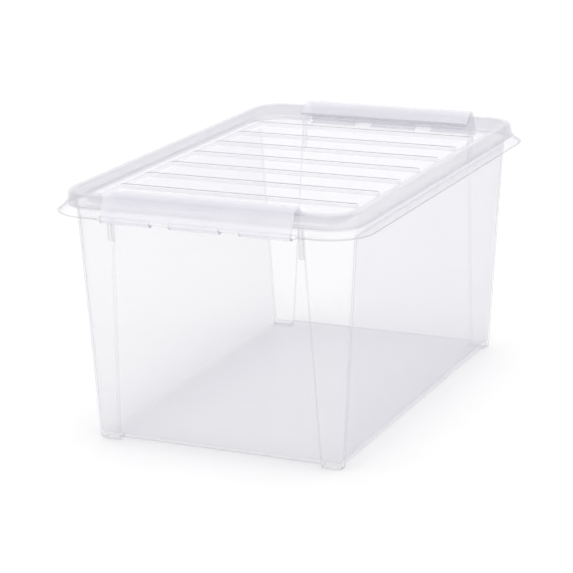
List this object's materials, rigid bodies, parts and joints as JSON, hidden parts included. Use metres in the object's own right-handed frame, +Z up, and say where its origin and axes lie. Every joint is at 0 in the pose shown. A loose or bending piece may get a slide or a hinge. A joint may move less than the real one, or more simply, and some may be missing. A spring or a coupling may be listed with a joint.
{
  "type": "stackable storage bin",
  "caption": "Clear stackable storage bin with tapered walls and corner feet, a lid with a raised border and stepped slats, and a swinging clip hinged at each end.",
  "frame": {"origin": "on the surface the bin stands on, under the middle of the body", "axes": "+Z up, +Y along the length towards the rear clip, +X across the width"},
  "size_m": [0.39, 0.6086, 0.3111],
  "materials": {
    "clear_body": "clear moulded polypropylene, slightly milky, glossy",
    "clear_lid": "clear moulded polypropylene, slightly milky, glossy",
    "clear_clip": "clear moulded plastic, thicker and milkier, glossy"
  },
  "bodies": {
    "bin": {"bin_body": "clear_body"},
    "lid": {"lid": "clear_lid"},
    "front_clip": {"front_clip": "clear_clip"},
    "rear_clip": {"rear_clip": "clear_clip"}
  },
  "joints": [
    {"name": "front_clip_swing", "type": "hinge", "parent": "bin", "child": "front_clip", "pos_m": [0, -0.2995, 0.2805], "axis": [1, 0, 0], "range_deg": [0, 180]},
    {"name": "rear_clip_swing", "type": "hinge", "parent": "bin", "child": "rear_clip", "pos_m": [0, 0.2995, 0.2805], "axis": [-1, 0, 0], "range_deg": [0, 180]},
    {"name": "lid_lift", "type": "slide", "parent": "bin", "child": "lid", "axis": [0, 0, 1], "range_m": [0, 0.33]}
  ]
}
